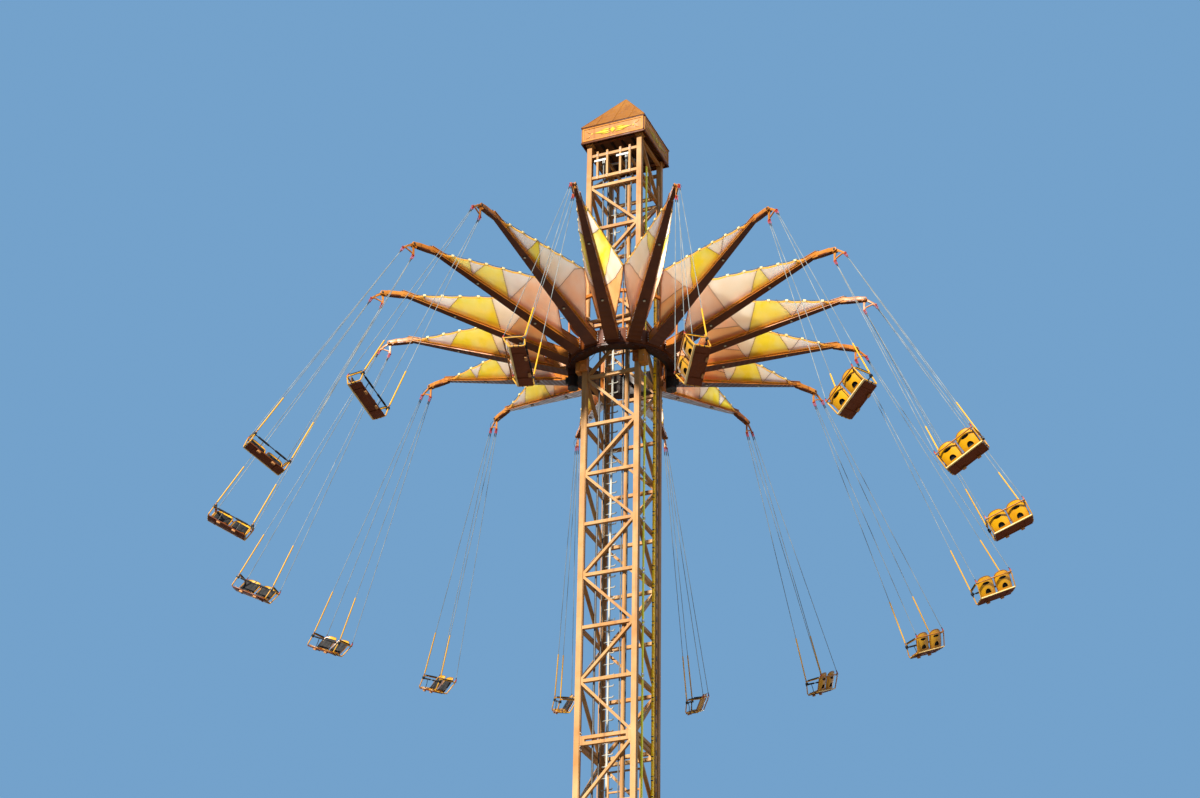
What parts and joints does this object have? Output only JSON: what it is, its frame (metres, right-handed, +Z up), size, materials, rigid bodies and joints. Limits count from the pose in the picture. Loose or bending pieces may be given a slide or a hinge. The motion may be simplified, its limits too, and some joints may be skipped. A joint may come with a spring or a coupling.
{
  "type": "chair swing ride",
  "caption": "Tall lattice-mast swing ride: a carriage climbs the mast, a star of canvas-sailed arms turns on it, and two-seat chairs fly outwards on cables.",
  "frame": {"origin": "centre of the flat underside of the ground frame, on the mast's axis", "axes": "+Z up along the mast; the mast's four braced sides face +X, -X, +Y and -Y; the star turns from -Y towards +X"},
  "size_m": [19.0356, 19.0356, 39.6],
  "materials": {
    "mast_paint": "satin",
    "base_paint": "satin",
    "roof_paint": "satin",
    "galvanised": "satin",
    "lime_plastic": "satin",
    "yellow_plastic": "satin",
    "carriage_paint": "satin",
    "star_paint": "satin",
    "sail_canvas": "matte",
    "cable_steel": "satin",
    "chair_paint": "gloss"
  },
  "bodies": {
    "mast": {"base_frame": "base_paint", "mast_chord_front": "mast_paint", "mast_chord_right": "mast_paint", "mast_chord_rear": "mast_paint", "mast_chord_left": "mast_paint", "mast_side_front": "mast_paint", "mast_side_right": "mast_paint", "mast_side_rear": "mast_paint", "mast_side_left": "mast_paint", "head_frame": "mast_paint", "head_sheaves": "galvanised", "hoist_rope_1": "galvanised", "hoist_rope_2": "galvanised", "roof_fascia": "roof_paint", "roof_cap": "roof_paint", "ladder_stile": "galvanised", "guide_tube": "mast_paint", "slim_rail": "mast_paint", "cable_strip": "lime_plastic", "energy_chain": "yellow_plastic", "chain_tray": "mast_paint", "platform": "mast_paint"},
    "carriage": {"carriage_frame": "carriage_paint"},
    "star": {"arm_star": "star_paint", "sails_1": "sail_canvas", "sails_2": "sail_canvas", "sails_3": "sail_canvas", "sails_4": "sail_canvas"},
    "swing_01": {"hanger_01": "cable_steel", "chair_01": "chair_paint"},
    "swing_02": {"hanger_02": "cable_steel", "chair_02": "chair_paint"},
    "swing_03": {"hanger_03": "cable_steel", "chair_03": "chair_paint"},
    "swing_04": {"hanger_04": "cable_steel", "chair_04": "chair_paint"},
    "swing_05": {"hanger_05": "cable_steel", "chair_05": "chair_paint"},
    "swing_06": {"hanger_06": "cable_steel", "chair_06": "chair_paint"},
    "swing_07": {"hanger_07": "cable_steel", "chair_07": "chair_paint"},
    "swing_08": {"hanger_08": "cable_steel", "chair_08": "chair_paint"},
    "swing_09": {"hanger_09": "cable_steel", "chair_09": "chair_paint"},
    "swing_10": {"hanger_10": "cable_steel", "chair_10": "chair_paint"},
    "swing_11": {"hanger_11": "cable_steel", "chair_11": "chair_paint"},
    "swing_12": {"hanger_12": "cable_steel", "chair_12": "chair_paint"},
    "swing_13": {"hanger_13": "cable_steel", "chair_13": "chair_paint"},
    "swing_14": {"hanger_14": "cable_steel", "chair_14": "chair_paint"},
    "swing_15": {"hanger_15": "cable_steel", "chair_15": "chair_paint"},
    "swing_16": {"hanger_16": "cable_steel", "chair_16": "chair_paint"}
  },
  "joints": [
    {"name": "lift", "type": "slide", "parent": "mast", "child": "carriage", "axis": [0, 0, 1], "range_m": [-24.6, 2.4]},
    {"name": "star_spin", "type": "hinge", "parent": "carriage", "child": "star", "pos_m": [0, 0, 31.5], "axis": [0, 0, 1], "continuous": true},
    {"name": "swing_01_out", "type": "hinge", "parent": "star", "child": "swing_01", "pos_m": [1.17054, -5.88471, 32.72], "axis": [-0.9808, -0.1951, 0], "range_deg": [-36, 14]},
    {"name": "swing_02_out", "type": "hinge", "parent": "star", "child": "swing_02", "pos_m": [3.33342, -4.98882, 32.72], "axis": [-0.8315, -0.5556, 0], "range_deg": [-36, 14]},
    {"name": "swing_03_out", "type": "hinge", "parent": "star", "child": "swing_03", "pos_m": [4.98882, -3.33342, 32.72], "axis": [-0.5556, -0.8315, 0], "range_deg": [-36, 14]},
    {"name": "swing_04_out", "type": "hinge", "parent": "star", "child": "swing_04", "pos_m": [5.88471, -1.17054, 32.72], "axis": [-0.1951, -0.9808, 0], "range_deg": [-36, 14]},
    {"name": "swing_05_out", "type": "hinge", "parent": "star", "child": "swing_05", "pos_m": [5.88471, 1.17054, 32.72], "axis": [0.1951, -0.9808, 0], "range_deg": [-36, 14]},
    {"name": "swing_06_out", "type": "hinge", "parent": "star", "child": "swing_06", "pos_m": [4.98882, 3.33342, 32.72], "axis": [0.5556, -0.8315, 0], "range_deg": [-36, 14]},
    {"name": "swing_07_out", "type": "hinge", "parent": "star", "child": "swing_07", "pos_m": [3.33342, 4.98882, 32.72], "axis": [0.8315, -0.5556, 0], "range_deg": [-36, 14]},
    {"name": "swing_08_out", "type": "hinge", "parent": "star", "child": "swing_08", "pos_m": [1.17054, 5.88471, 32.72], "axis": [0.9808, -0.1951, 0], "range_deg": [-36, 14]},
    {"name": "swing_09_out", "type": "hinge", "parent": "star", "child": "swing_09", "pos_m": [-1.17054, 5.88471, 32.72], "axis": [0.9808, 0.1951, 0], "range_deg": [-36, 14]},
    {"name": "swing_10_out", "type": "hinge", "parent": "star", "child": "swing_10", "pos_m": [-3.33342, 4.98882, 32.72], "axis": [0.8315, 0.5556, 0], "range_deg": [-36, 14]},
    {"name": "swing_11_out", "type": "hinge", "parent": "star", "child": "swing_11", "pos_m": [-4.98882, 3.33342, 32.72], "axis": [0.5556, 0.8315, 0], "range_deg": [-36, 14]},
    {"name": "swing_12_out", "type": "hinge", "parent": "star", "child": "swing_12", "pos_m": [-5.88471, 1.17054, 32.72], "axis": [0.1951, 0.9808, 0], "range_deg": [-36, 14]},
    {"name": "swing_13_out", "type": "hinge", "parent": "star", "child": "swing_13", "pos_m": [-5.88471, -1.17054, 32.72], "axis": [-0.1951, 0.9808, 0], "range_deg": [-36, 14]},
    {"name": "swing_14_out", "type": "hinge", "parent": "star", "child": "swing_14", "pos_m": [-4.98882, -3.33342, 32.72], "axis": [-0.5556, 0.8315, 0], "range_deg": [-36, 14]},
    {"name": "swing_15_out", "type": "hinge", "parent": "star", "child": "swing_15", "pos_m": [-3.33342, -4.98882, 32.72], "axis": [-0.8315, 0.5556, 0], "range_deg": [-36, 14]},
    {"name": "swing_16_out", "type": "hinge", "parent": "star", "child": "swing_16", "pos_m": [-1.17054, -5.88471, 32.72], "axis": [-0.9808, 0.1951, 0], "range_deg": [-36, 14]}
  ]
}
